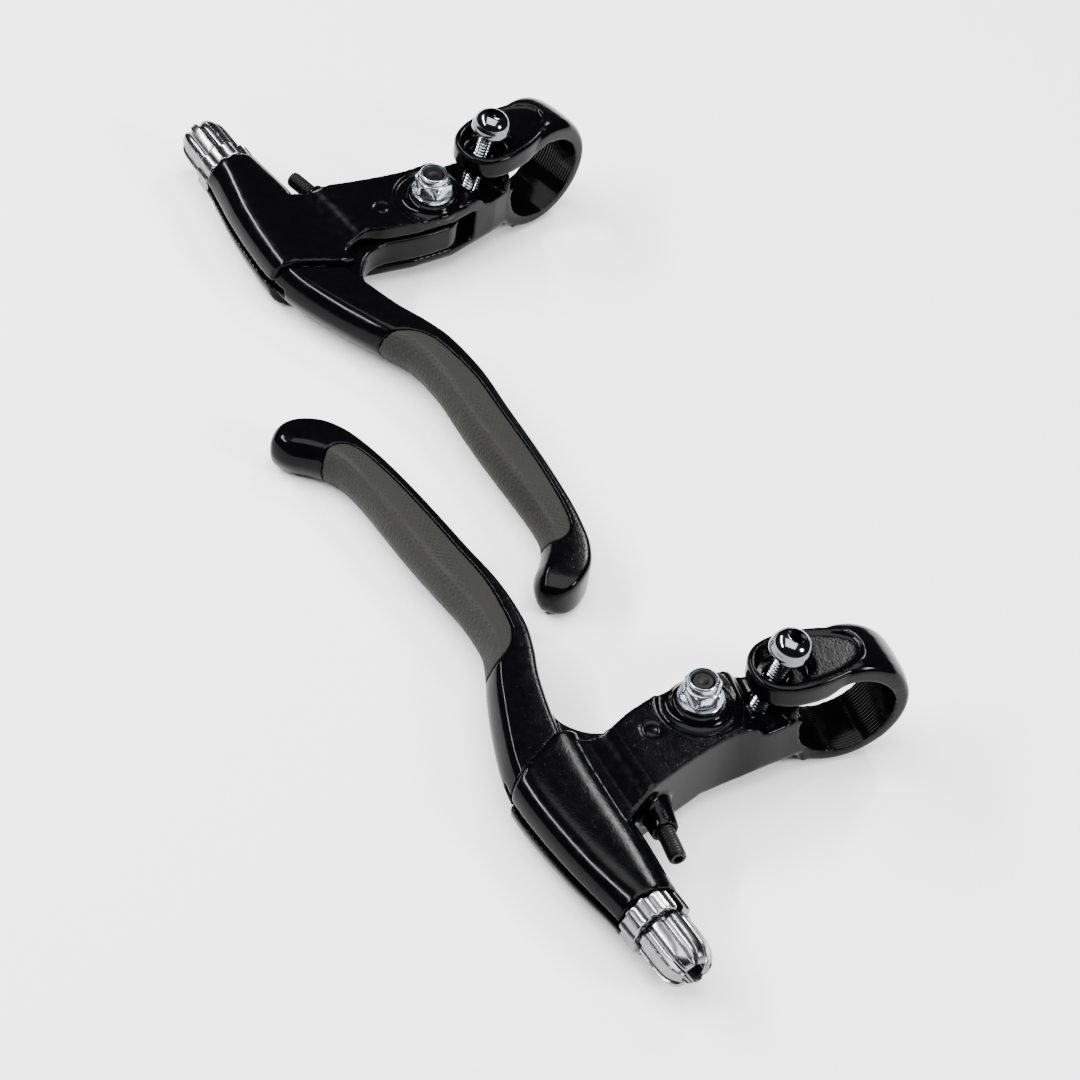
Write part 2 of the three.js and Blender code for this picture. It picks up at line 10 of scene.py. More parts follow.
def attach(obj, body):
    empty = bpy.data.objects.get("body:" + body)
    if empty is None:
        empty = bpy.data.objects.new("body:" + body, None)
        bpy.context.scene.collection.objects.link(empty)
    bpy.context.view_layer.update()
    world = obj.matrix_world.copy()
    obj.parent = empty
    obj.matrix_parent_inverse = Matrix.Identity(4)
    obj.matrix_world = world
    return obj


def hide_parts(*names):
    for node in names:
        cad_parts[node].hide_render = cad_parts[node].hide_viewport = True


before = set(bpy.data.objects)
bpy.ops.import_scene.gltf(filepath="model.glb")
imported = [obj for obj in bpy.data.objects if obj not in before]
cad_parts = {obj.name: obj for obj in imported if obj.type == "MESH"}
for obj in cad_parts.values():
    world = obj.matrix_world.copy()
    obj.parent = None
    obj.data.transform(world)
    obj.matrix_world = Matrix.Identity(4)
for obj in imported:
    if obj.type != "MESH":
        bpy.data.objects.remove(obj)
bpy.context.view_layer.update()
print("frame loaded:", len(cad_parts), "nodes")

restTilt = math.radians(-4.326)  # the clamp ring, the housing and the tip all touch the bench
restRoll = math.radians(0.5275)
levers = {
    "left": {"bore": (80.2966, -46.0091, 15.3448), "turn": 118.0, "mirror": 1},
    "right": {"bore": (-12.7034, 111.3909, 15.3448), "turn": 143.5, "mirror": -1},
}


def leverPlace(side):
    # from the lever's own millimetres to the bench's metres
    lever = levers[side]
    bore = Matrix.Translation(Vector(lever["bore"]) / 1000)
    turn = Matrix.Rotation(math.radians(lever["turn"]), 4, "Z") @ Matrix.Diagonal((lever["mirror"], 1, 1, 1))
    rest = Matrix.Rotation(restTilt, 4, "X") @ Matrix.Rotation(restRoll, 4, "Y")
    return bore @ turn @ rest @ Matrix.Scale(0.001, 4)


def smoothThrough(points, perSpan=6):
    # a smooth line through the points
    points = [Vector(p) for p in points]
    last = len(points) - 1
    made = []
    for i in range(last):
        a, b, c, d = points[max(i - 1, 0)], points[i], points[i + 1], points[min(i + 2, last)]
        for k in range(perSpan):
            t = k / perSpan
            made.append(0.5 * (2 * b + (c - a) * t + (2 * a - 5 * b + 4 * c - d) * t * t
                               + (3 * b - a - 3 * c + d) * t ** 3))
    return made + [points[-1]]


def along(points, t):
    # the place a share t of the way through a list of points
    at = min(max(t, 0), 1) * (len(points) - 1)
    i = min(int(at), len(points) - 2)
    return points[i].lerp(points[i + 1], at - i)


def sealed(bm):
    bmesh.ops.remove_doubles(bm, verts=bm.verts, dist=0.001)
    bmesh.ops.recalc_face_normals(bm, faces=bm.faces)
    return bm


def prism(outline, low, high, edge=0, segments=3, lowerOnly=False):
    # a plan outline raised from low to high, with an optional rounded rim
    bm = bmesh.new()
    face = bm.faces.new([bm.verts.new((p[0], p[1], low)) for p in outline])
    raised = bmesh.ops.extrude_face_region(bm, geom=[face])["geom"]
    bmesh.ops.translate(bm, vec=(0, 0, high - low), verts=[v for v in raised if isinstance(v, bmesh.types.BMVert)])
    sealed(bm)
    if edge:
        levels = [low] if lowerOnly else [low, high]
        rim = [e for e in bm.edges if any(all(abs(v.co.z - z) < 1e-4 for v in e.verts) for z in levels)]
        bmesh.ops.bevel(bm, geom=rim, offset=edge, offset_type="OFFSET", affect="EDGES", segments=segments,
                        profile=0.5, material=-1, clamp_overlap=True)
    return bm


def lathe(profile, steps=64, closed=False):
    # a turned piece about Z, from pairs of radius and height
    bm = bmesh.new()
    verts = [bm.verts.new((r, 0, h)) for r, h in profile]
    edges = [bm.edges.new(pair) for pair in zip(verts, verts[1:])]
    if closed:
        edges.append(bm.edges.new((verts[-1], verts[0])))
    bmesh.ops.spin(bm, geom=verts + edges, cent=(0, 0, 0), axis=(0, 0, 1), angle=2 * math.pi, steps=steps,
                   use_merge=True)
    return sealed(bm)


def skin(lengthwise, around, surface):
    # a closed tube over surface(u, v), where u runs along it and v runs round it
    bm = bmesh.new()
    bmesh.ops.create_grid(bm, x_segments=lengthwise, y_segments=around, size=0.5)
    for v in bm.verts:
        v.co = surface(v.co.x + 0.5, v.co.y + 0.5)
    bmesh.ops.remove_doubles(bm, verts=bm.verts, dist=0.0005)
    bmesh.ops.holes_fill(bm, edges=[e for e in bm.edges if e.is_boundary], sides=0)
    bmesh.ops.recalc_face_normals(bm, faces=bm.faces)
    return bm


def brick(low, high):
    bm = bmesh.new()
    bmesh.ops.create_cube(bm, size=1)
    low, high = Vector(low), Vector(high)
    bmesh.ops.scale(bm, vec=high - low, verts=bm.verts)
    bmesh.ops.translate(bm, vec=(low + high) / 2, verts=bm.verts)
    return bm


def bar(radius, start, axis, length, steps=48):
    # a round bar from a point along an axis
    bm = bmesh.new()
    bmesh.ops.create_cone(bm, cap_ends=True, segments=steps, radius1=radius, radius2=radius, depth=length)
    bmesh.ops.translate(bm, vec=(0, 0, length / 2), verts=bm.verts)
    return stood(bm, start, axis)


def stood(bm, start, axis=(0, 0, 1)):
    # a piece made about Z goes to a start point along an axis
    turn = Vector((0, 0, 1)).rotation_difference(Vector(axis)).to_matrix()
    bmesh.ops.rotate(bm, cent=(0, 0, 0), matrix=turn, verts=bm.verts)
    bmesh.ops.translate(bm, vec=start, verts=bm.verts)
    return bm


def hexBar(across, low, high):
    bm = bmesh.new()
    bmesh.ops.create_cone(bm, cap_ends=True, segments=6, radius1=across / math.sqrt(3),
                          radius2=across / math.sqrt(3), depth=high - low)
    bmesh.ops.translate(bm, vec=(0, 0, (low + high) / 2), verts=bm.verts)
    return bm


def asObject(bm, name="work"):
    mesh = bpy.data.meshes.new(name)
    bm.to_mesh(mesh)
    bm.free()
    made = bpy.data.objects.new(name, mesh)
    bpy.context.scene.collection.objects.link(made)
    return made


def settle(obj):
    # the modifiers become part of the mesh
    graph = bpy.context.evaluated_depsgraph_get()
    mesh = bpy.data.meshes.new_from_object(obj.evaluated_get(graph))
    obj.modifiers.clear()
    obj.data = mesh
    return obj


def combine(base, others, how):
    # joins, cuts or intersects solids one after another
    base = base if isinstance(base, bpy.types.Object) else asObject(base)
    tools = [o if isinstance(o, bpy.types.Object) else asObject(o) for o in others]
    for tool in tools:
        step = base.modifiers.new(how, "BOOLEAN")
        step.operation, step.solver, step.object = how, "MANIFOLD", tool
    settle(base)
    for tool in tools:
        bpy.data.objects.remove(tool)
    return base


def reshaped(obj, change):
    # runs a mesh change on a finished object
    bm = bmesh.new()
    bm.from_mesh(obj.data)
    change(bm)
    bm.to_mesh(obj.data)
    bm.free()
    return obj


def easeEdges(obj, width, degrees):
    # a small machined chamfer on every edge sharper than the angle
    bevel = obj.modifiers.new("easedEdges", "BEVEL")
    bevel.width, bevel.segments, bevel.limit_method, bevel.angle_limit = width, 2, "ANGLE", math.radians(degrees)
    return settle(obj)


def castSmooth(obj, voxel, passes):
    # one skin over all the solids, with every edge eased as on a die casting
    remesh = obj.modifiers.new("oneSkin", "REMESH")
    remesh.mode, remesh.voxel_size = "VOXEL", voxel
    ease = obj.modifiers.new("ease", "SMOOTH")
    ease.factor, ease.iterations = 0.5, passes
    return settle(obj)


def softShade(obj, sharpDegrees=None):
    for face in obj.data.polygons:
        face.use_smooth = True

    def markSharp(bm):
        for edge in bm.edges:
            edge.smooth = not (edge.is_manifold and edge.calc_face_angle(0) > math.radians(sharpDegrees))

    return reshaped(obj, markSharp) if sharpDegrees else obj


def place(obj, name, body, nodes, material):
    # a copy for each lever, with its place in its mesh
    for side in levers:
        mesh = obj.data.copy()
        mesh.name = f"{side}_{name}"
        mesh.transform(leverPlace(side))
        if levers[side]["mirror"] < 0:
            mesh.flip_normals()
        mesh.materials.clear()
        mesh.materials.append(material)
        piece = bpy.data.objects.new(f"{side}_{name}_look", mesh)
        bpy.context.scene.collection.objects.link(piece)
        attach(piece, body if body == "brackets" else f"{side}_{body}")
        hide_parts(*[f"{side}_{node}" for node in nodes])
    bpy.data.objects.remove(obj)


def colour(code):
    # sRGB hex to linear
    parts = [int(code[i:i + 2], 16) / 255 for i in (1, 3, 5)]
    return [p / 12.92 if p <= 0.04045 else ((p + 0.055) / 1.055) ** 2.4 for p in parts] + [1]


def addNode(material, kind, settings=None, links=None, **attributes):
    # settings by socket name or number, and links as (socket, source node, source socket)
    node = material.node_tree.nodes.new(kind)
    for key, value in attributes.items():
        setattr(node, key, value)
    for key, value in (settings or {}).items():
        node.inputs[key].default_value = value
    for key, source, output in links or []:
        material.node_tree.links.new(source.outputs[output], node.inputs[key])
    return node


def freshMaterial(name):
    material = bpy.data.materials.new(name)
    material.use_nodes = True
    material.node_tree.nodes.clear()
    return material


def finishMaterial(material, settings, links):
    shader = addNode(material, "ShaderNodeBsdfPrincipled", settings, links)
    addNode(material, "ShaderNodeOutputMaterial", links=[("Surface", shader, "BSDF")])
    return material


# Gloss stoving enamel sprayed on an aluminium die casting: a deep black film that flows over the
# fine grain of the casting, so flat faces glitter faintly and rounded ones stay smooth.
enamelLook = {"black": "#030304", "grainMm": 0.5, "peelMm": 2.2, "grainDepth": 0.000032, "peelDepth": 0.00003,
              "pitMm": 1.1, "pitDepth": 0.00004}


def glossEnamel():
    m = freshMaterial("stovingEnamelOnDieCasting")
    where = addNode(m, "ShaderNodeTexCoord")
    peel = addNode(m, "ShaderNodeTexNoise", {"Scale": 1000 / enamelLook["peelMm"], "Detail": 1.0},
                   [("Vector", where, "Object")])
    grain = addNode(m, "ShaderNodeTexNoise", {"Scale": 1000 / enamelLook["grainMm"], "Detail": 2.0, "Roughness": 0.6},
                    [("Vector", where, "Object")])
    normal = addNode(m, "ShaderNodeNewGeometry")
    facing = addNode(m, "ShaderNodeSeparateXYZ", links=[("Vector", normal, "Normal")])
    flat = addNode(m, "ShaderNodeMapRange", {"From Min": 0.9, "From Max": 0.985}, [("Value", facing, "Z")])
    flatGrain = addNode(m, "ShaderNodeMath", links=[(0, grain, 0), (1, flat, "Result")], operation="MULTIPLY")
    peelBump = addNode(m, "ShaderNodeBump", {"Strength": 0.3, "Distance": enamelLook["peelDepth"]},
                       [("Height", peel, 0)])
    bump = addNode(m, "ShaderNodeBump", {"Strength": 1.0, "Distance": enamelLook["grainDepth"]},
                   [("Height", flatGrain, 0), ("Normal", peelBump, "Normal")])
    pits = addNode(m, "ShaderNodeTexVoronoi", {"Scale": 1000 / enamelLook["pitMm"], "Randomness": 1.0},
                   [("Vector", where, "Object")])
    pit = addNode(m, "ShaderNodeMapRange", {"From Max": 0.2}, [("Value", pits, "Distance")])
    flatPit = addNode(m, "ShaderNodeMath", links=[(0, pit, 0), (1, flat, 0)], operation="MULTIPLY")
    pitted = addNode(m, "ShaderNodeBump", {"Strength": 0.7, "Distance": enamelLook["pitDepth"]},
                     [("Height", flatPit, 0), ("Normal", bump, "Normal")])
    rough = addNode(m, "ShaderNodeMapRange", {"From Min": 0.3, "From Max": 0.7, "To Min": 0.09, "To Max": 0.16},
                    [("Value", peel, 0)])
    flatRough = addNode(m, "ShaderNodeMath", {1: 0.06}, [(0, flat, 0), (2, rough, 0)], operation="MULTIPLY_ADD")
    return finishMaterial(m, {"Base Color": colour(enamelLook["black"]), "IOR": 1.5, "Metallic": 0.0,
                              "Specular IOR Level": 0.075},
                          [("Roughness", flatRough, 0), ("Normal", pitted, "Normal")])


# Moulded thermoplastic rubber: dry and matt, with the mould's fine pips and a slightly polished skin.
rubberLook = {"grey": "#0e0e0a", "worn": "#161611", "pipMm": 1.0, "pipDepth": 0.00025, "cloudMm": 9.0,
              "fineMm": 0.25, "fineDepth": 0.00003}


def mouldedRubber():
    m = freshMaterial("mouldedThermoplasticRubber")
    where = addNode(m, "ShaderNodeTexCoord")
    pips = addNode(m, "ShaderNodeTexVoronoi", {"Scale": 1000 / rubberLook["pipMm"], "Randomness": 0.25},
                   [("Vector", where, "Object")])
    pip = addNode(m, "ShaderNodeMapRange", {"From Min": 0.18, "From Max": 0.42}, [("Value", pips, "Distance")])
    cloud = addNode(m, "ShaderNodeTexNoise", {"Scale": 1000 / rubberLook["cloudMm"], "Detail": 3.0},
                    [("Vector", where, "Object")])
    fine = addNode(m, "ShaderNodeTexNoise", {"Scale": 1000 / rubberLook["fineMm"], "Detail": 2.0},
                   [("Vector", where, "Object")])
    bump = addNode(m, "ShaderNodeBump", {"Strength": 0.55, "Distance": rubberLook["pipDepth"]},
                   [("Height", pip, 0)])
    skinBump = addNode(m, "ShaderNodeBump", {"Strength": 0.25, "Distance": rubberLook["fineDepth"]},
                       [("Height", fine, 0), ("Normal", bump, "Normal")])
    tint = addNode(m, "ShaderNodeMix", {6: colour(rubberLook["grey"]), 7: colour(rubberLook["worn"])},
                   [(0, cloud, 0)], data_type="RGBA")
    rough = addNode(m, "ShaderNodeMapRange", {"To Min": 0.55, "To Max": 0.8}, [("Value", cloud, 0)])
    return finishMaterial(m, {"Metallic": 0.0, "Specular IOR Level": 0.22},
                          [("Base Color", tint, 2), ("Roughness", rough, 0), ("Normal", skinBump, "Normal")])


def platedMetal(name, bright, dull, smooth, rough, grainMm, depth):
    # plated and bare metals share one build: cloudy roughness and a fine grain
    m = freshMaterial(name)
    where = addNode(m, "ShaderNodeTexCoord")
    cloud = addNode(m, "ShaderNodeTexNoise", {"Scale": 1000 / 3.0, "Detail": 4.0}, [("Vector", where, "Object")])
    grain = addNode(m, "ShaderNodeTexNoise", {"Scale": 1000 / grainMm, "Detail": 2.0}, [("Vector", where, "Object")])
    tint = addNode(m, "ShaderNodeMix", {6: colour(bright), 7: colour(dull)}, [(0, cloud, 0)], data_type="RGBA")
    gloss = addNode(m, "ShaderNodeMapRange", {"From Min": 0.3, "From Max": 0.7, "To Min": smooth, "To Max": rough},
                    [("Value", cloud, 0)])
    bump = addNode(m, "ShaderNodeBump", {"Strength": 0.4, "Distance": depth}, [("Height", grain, 0)])
    return finishMaterial(m, {"Metallic": 1.0},
                          [("Base Color", tint, 2), ("Roughness", gloss, 0), ("Normal", bump, "Normal")])


# Clear zinc on pressed steel: silvery with a faint blue cast and a slightly milky shine
brightZinc = platedMetal("clearZincOnSteel", "#bcc1c8", "#868c94", 0.16, 0.3, 0.2, 0.00001)
# Decorative chrome on a forged bolt head: mirror bright
brightChrome = platedMetal("chromeOnSteel", "#77797c", "#56585b", 0.07, 0.15, 0.3, 0.000004)
# Bare turned and milled aluminium: white metal with soft cutter marks
turnedAluminium = platedMetal("turnedAluminium", "#8f8f91", "#545456", 0.16, 0.28, 0.16, 0.000014)
# Black oxide on steel: thin, oily and dark brown-black, still metallic underneath
blackOxide = platedMetal("blackOxideOnSteel", "#2b2a2a", "#161616", 0.35, 0.5, 0.2, 0.00001)
# Turned brass
plainBrass = platedMetal("turnedBrass", "#c9a25a", "#a67f3c", 0.25, 0.4, 0.2, 0.00001)


# Nylon 66 locking insert: dark, waxy and faintly translucent, here seen only as a dark ring
def waxyNylon():
    m = freshMaterial("nylonInsert")
    where = addNode(m, "ShaderNodeTexCoord")
    cloud = addNode(m, "ShaderNodeTexNoise", {"Scale": 1000 / 0.8, "Detail": 2.0}, [("Vector", where, "Object")])
    tint = addNode(m, "ShaderNodeMix", {6: colour("#15171a"), 7: colour("#24272b")}, [(0, cloud, 0)],
                   data_type="RGBA")
    bump = addNode(m, "ShaderNodeBump", {"Strength": 0.3, "Distance": 0.00002}, [("Height", cloud, 0)])
    return finishMaterial(m, {"Roughness": 0.42, "IOR": 1.53},
                          [("Base Color", tint, 2), ("Normal", bump, "Normal")])


enamel = glossEnamel()
rubber = mouldedRubber()
nylon = waxyNylon()
print("materials made")

# The bracket is one casting: clamp band with its ear, arm and cable housing.
bracketSize = {
    "boreRadius": 11.1, "bandRadius": 15.3, "outboard": 7.6, "inboard": 6.8, "inboardLow": 5.6, "crown": 16.2,
    "slantTop": 7.6, "slantHeight": 22.9, "crownBack": 9, "groovePitch": 0.75, "grooveDepth": 0.14,
    "earTop": 15.1, "earClimb": 0.035, "earUnderside": 9.0, "flatDepth": 0.25, "slitFloor": 2.8,
    "pocketRadius": 6.0, "pocketFloor": 11.4, "boltHole": 2.75, "recessRadius": 9.2, "recessFloor": 6.25,
    "plateTop": 6.8, "armBottom": -9.8, "armChamfer": 2.8, "bossTop": 8.0, "rootLow": -5.9, "rootHigh": 2.9,
    "pivotHole": 2.7, "headRoom": 4.4, "headRoomTop": -7.4, "socketRadius": 4.9, "socketDepth": 13,
    "cableHole": 2.6, "cableSlot": 2.2, "reachHole": 2.2, "markInner": 1.35, "markOuter": 2.25,
    "markDepth": 0.5, "voxel": 0.42, "smoothPasses": 5,
}
markAt = Vector((-3.9, 44.3, bracketSize["plateTop"]))
pivot = Vector((0.4, 32, 0))
boltSeat = Vector((0, 14.2, 15.2))
boltAxis = Vector((0, -math.sin(math.radians(17)), math.cos(math.radians(17))))
housingEnd = Vector((-41.8, 58.5, -2.5))
cableAngle = math.radians(12.3)  # the cable runs out of the housing at this angle to the bar
barrelAxis = Vector((-math.cos(cableAngle), -math.sin(cableAngle), 0))
anchorAt = Vector((-3, housingEnd.y + (-3 - housingEnd.x) * math.tan(cableAngle), -1.5))
anchorHalf = 3.5
reachAt = Vector((-12, 48, -1.5))
reachAxis = Vector((-1, 0, 0))
mouthCorner = Vector((2.7, 62.1))
mouthFront = Vector((-6.1, 73.9))


def clampBand(b):
    # the band is rounded across, its crown stands higher than its underside
    half = [(-b["inboard"], 13.7), (-6.1, 14.5), (-4.4, 15.0), (-2, 15.25), (0.4, b["bandRadius"]), (3, 15.25),
            (5.4, 15.0), (6.9, 14.4), (b["outboard"], 13.6)]
    band = lathe([(0, half[0][0])] + [(r, x) for x, r in half] + [(0, half[-1][0])], 96)
    stood(band, (0, 0, 0), (1, 0, 0))
    lift = b["crown"] / b["bandRadius"] - 1
    for v in band.verts:  # the inboard face slants, so the band is narrowest at its lowest line
        if v.co.x < 0:
            low = min(max((b["slantTop"] - v.co.z) / b["slantHeight"], 0), 1)
            v.co.x *= 1 - low * (1 - b["inboardLow"] / b["inboard"])
        if v.co.z > 0:
            rise = v.co.z / b["bandRadius"]
            v.co.z *= 1 + lift * rise * rise * min(max(1 - v.co.y / b["crownBack"], 0), 1)
    return band


def earSolid(b):
    plan = smoothThrough([(0, -4.4), (3.4, -3.4), (5.6, -1), (7, 2), (7.9, 6), (8.2, 10), (8, 14.4), (6.6, 18.4),
                          (3.8, 20.9), (0, 21.7), (-3.8, 20.9), (-6.6, 18.4), (-8, 14.4), (-8.2, 10), (-7.6, 6),
                          (-6.6, 2), (-5.2, -1), (-3.2, -3.4)], 5)
    ear = prism(plan, b["earUnderside"], b["earTop"], 0.9, 3)
    for v in ear.verts:  # its top climbs towards the crown of the band
        if v.co.z > b["earTop"] - 1:
            v.co.z += b["earClimb"] * (12 - v.co.y)
    return ear


def flatOnEar(b):
    # the machined flat round the bolt's pocket, egg shaped and closed towards the band
    plan = smoothThrough([(0, -3.6), (2.6, -2.6), (4.7, 0.4), (6.0, 4.5), (6.6, 9), (6.6, 13), (5.4, 17.2),
                          (2.9, 19.8), (0, 20.6), (-2.9, 19.8), (-5.4, 17.2), (-6.6, 13), (-6.6, 9), (-6.0, 4.5),
                          (-4.7, 0.4), (-2.6, -2.6)], 5)
    return prism(plan, b["earTop"] - b["flatDepth"], 20)


def sideSlab(outline, width):
    # an outline in y and z drawn out along x
    bm = prism(outline, -width / 2, width / 2)
    swap = Matrix(((0, 0, 1), (1, 0, 0), (0, 1, 0)))
    bmesh.ops.transform(bm, matrix=swap.to_4x4(), verts=bm.verts)
    return bm


def armSolid(b):
    inboardSide = [(-5.6, 6), (-7.2, 13), (-8.8, 20), (-9.8, 28), (-11.8, 34.5), (-15.4, 43), (-20, 52), (-25, 58)]
    outboardSide = [(1.3, 60.8), (-0.8, 57.5), (-0.6, 52.5), (2.3, 47.3), (5.2, 40.5), (7.4, 34), (8, 24), (8, 17),
                    (7.4, 9), (6.2, -2)]
    plan = [(-4.6, -2)] + smoothThrough(inboardSide, 6) + [(-12, 64), (0.5, 64)] + smoothThrough(outboardSide, 6)
    side = [(0, -13.3), (3, -13.2), (6, -12.8), (9.5, -11.9), (13, -10.9), (17, -10.1),
            (22, b["armBottom"]), (66, b["armBottom"]), (66, b["plateTop"]), (25.6, b["plateTop"]), (23.6, 6.5),
            (22.2, 5.6), (21, 3.9), (19.4, b["slitFloor"] + 0.5), (2, b["slitFloor"]), (0, 0)]
    lower = [(6.2, -2), (8, 17), (8, 30), (5.2, 40.5), (0, 53), (1.5, 66), (-12, 66), (-25, 57.5), (-20, 52),
             (-11.8, 34.5), (-8.8, 20), (-4.6, -2)]
    chamfered = prism(lower[::-1], b["armBottom"], 20, b["armChamfer"], 5, lowerOnly=True)
    clampEnd = brick((-20, -20, -20), (20, 9, 20))
    keep = combine(chamfered, [clampEnd], "UNION")
    arm = combine(prism(plan, b["armBottom"] - 6, b["plateTop"] + 2), [sideSlab(side, 80), keep], "INTERSECT")
    # the top falls away in front of the housing, to a crease that runs along it
    fall = [(-9, 12), (-9, 6.9), (-6.6, 6.75), (-4.8, 6.2), (-3, 5.3), (-0.5, 4.4), (2.5, 4.1), (12, 4.1), (12, 12)]
    valley = sideSlab(fall, 60)
    bmesh.ops.rotate(valley, cent=(0, 0, 0), matrix=Matrix.Rotation(math.radians(8.4), 3, "Z"), verts=valley.verts)
    bmesh.ops.translate(valley, vec=(-8, 57.2, 0), verts=valley.verts)
    return combine(arm, [valley], "DIFFERENCE")


housingSections = [  # x, middle y, half depth, half height, fullness of the section
    (-47, 57.4, 7.25, 7.25, 1.0), (-41, 58.8, 7.5, 7.3, 0.95), (-35, 60.3, 8.2, 7.4, 0.84),
    (-28, 62.0, 9.0, 7.5, 0.74), (-18, 64.3, 9.6, 7.6, 0.68), (-8, 66.1, 9.9, 7.7, 0.64), (6, 67.3, 9.9, 7.8, 0.62),
]


def housingSolid():
    rows = [Vector(s) for s in housingSections]
    line = smoothThrough(rows, 8)

    def surface(u, v):
        x, y, depth, height, full = along(line, u)
        angle = 2 * math.pi * v
        across = math.copysign(abs(math.cos(angle)) ** full, math.cos(angle))
        rise = math.copysign(abs(math.sin(angle)) ** full, math.sin(angle))
        return Vector((x, y + depth * across, housingEnd.z + height * rise))

    body = skin(56, 96, surface)
    past = bar(30, housingEnd, barrelAxis, 40, 16)
    return combine(body, [past, besideMouth(0, 200), brick((mouthCorner.x, 40, -30), (40, 90, 30))], "DIFFERENCE")


def besideMouth(setback, reach):
    # everything on one side of the housing's mouth, which faces outboard and forward
    run = (mouthFront - mouthCorner).normalized()
    out = Vector((run.y, -run.x))
    start, end = (mouthCorner + run * far + out * setback for far in (-150, 150))
    return prism([start, start + out * reach, end + out * reach, end], -30, 30)


def rootRoom(b):
    plan = [(20, 23.7), (0.4, 23.7)]
    plan += [(pivot.x - 8.3 * math.sin(a), pivot.y - 8.3 * math.cos(a)) for a in
             [math.radians(d) for d in range(10, 81, 10)]]
    plan += smoothThrough([(-7.9, 32), (-7.5, 40), (-7, 48), (-9.4, 57), (-10.8, 64), (-10.2, 69.5)], 5)
    plan += [(-7.6, 74), (6, 74.2), (20, 70)]
    return prism(plan, b["rootLow"], b["rootHigh"])


def boreGrooves(b):
    # the bore is machined with fine turned rings, which grip the bar
    profile = [(0, -9)]
    x = -9.0
    while x < 9:
        profile += [(b["boreRadius"] - 0.02, x), (b["boreRadius"] + b["grooveDepth"], x + b["groovePitch"] / 2)]
        x += b["groovePitch"]
    profile += [(0, profile[-1][1])]
    return stood(lathe(profile, 128), (0, 0, 0), (1, 0, 0))


def makeBracket(b):
    sunk = lathe([(0, b["recessFloor"]), (b["recessRadius"], b["recessFloor"]), (b["recessRadius"], 12), (0, 12)], 72)
    arm = combine(armSolid(b), [stood(sunk, (pivot.x, pivot.y, 0))], "DIFFERENCE")
    boss = lathe([(0, b["bossTop"]), (5.6, b["bossTop"]), (5.95, 7.8), (6.2, 7.2), (6.7, 6.6),
                  (7.4, b["recessFloor"]), (7.4, 5), (0, 5)], 72)
    reachBoss = stood(lathe([(0, 0), (4.6, 0), (3.9, 5), (3.3, 9), (3.05, 12), (0, 12)], 48), reachAt, reachAxis)
    body = combine(clampBand(b), [earSolid(b), arm, stood(boss, (pivot.x, pivot.y, 0)), reachBoss, housingSolid()],
                   "UNION")
    slotLow, slotHigh = housingEnd.z - b["cableSlot"] / 2, housingEnd.z + b["cableSlot"] / 2
    cuts = [
        bar(b["boreRadius"] - 0.1, (-20, 0, 0), (1, 0, 0), 40, 128),
        brick((-20, 2, b["slitFloor"]), (20, 12, b["earUnderside"])),
        flatOnEar(b),
        bar(b["pocketRadius"], (0, boltSeat.y, b["pocketFloor"]), (0, 0, 1), 20, 72),
        bar(b["boltHole"], boltSeat - boltAxis * 30, boltAxis, 40),
        rootRoom(b),
        bar(b["pivotHole"], (pivot.x, pivot.y, -30), (0, 0, 1), 60),
        bar(b["headRoom"], (pivot.x, pivot.y, -30), (0, 0, 1), 30 + b["headRoomTop"]),
        bar(b["socketRadius"], housingEnd + barrelAxis * 5, -barrelAxis, 5 + b["socketDepth"]),
        bar(b["cableHole"], housingEnd, -barrelAxis, 40),
        brick((-70, housingEnd.y, slotLow), (5, 90, slotHigh)),
        bar(b["reachHole"], (0, reachAt.y, reachAt.z), reachAxis, 40),
    ]
    mark = stood(lathe([(b["markInner"], -b["markDepth"]), (b["markOuter"], -b["markDepth"]), (b["markOuter"], 1),
                        (b["markInner"], 1)], 48, closed=True), markAt)
    combine(body, cuts + [mark], "DIFFERENCE")
    castSmooth(body, b["voxel"], b["smoothPasses"])
    combine(body, [boreGrooves(b)], "DIFFERENCE")
    return softShade(body, 40)


place(makeBracket(bracketSize), "bracket", "brackets", ["bracket"], enamel)
print("brackets made")

bladeSize = {
    "middle": -2.0, "halfHeight": 5.5, "rootMiddle": -1.5, "rootHalf": 3.5, "eyeRadius": 7.4,
    "mouthGap": 0.4, "anchorHole": 3.8, "cableSlot": 2.6, "bushHole": 4.0, "padGap": 0.28, "tongueHalf": 2.5,
    "padProud": 0.05, "voxel": 0.3, "smoothPasses": 4, "padPasses": 5,
}
bladeStations = [  # back x and y, front x and y, height share
    (-6, 61.6, -12, 75.6, 1), (2, 61.4, -2, 75.9, 1), (10, 61.2, 9, 74.4, 1), (20, 60.3, 20, 72.0, 1),
    (28, 58.7, 27.5, 69.8, 1), (36, 58.1, 34, 68.9, 1), (48, 59.7, 44, 70.4, 1), (60, 63.2, 56, 74.0, 1),
    (70, 66.0, 66, 76.7, 1), (80, 69.0, 76, 79.0, 1), (90, 72.4, 85.5, 81.3, 1), (97, 75.4, 91.5, 83.6, 1),
    (102, 78.2, 95, 86.6, 1), (106, 82, 97.2, 89.7, 1), (108, 86.4, 98.8, 92.4, 0.98), (108.5, 90, 100.8, 94.4, 0.88),
    (107.8, 92.8, 102.9, 95.4, 0.66), (106.4, 94.5, 104.6, 95.3, 0.3),
]


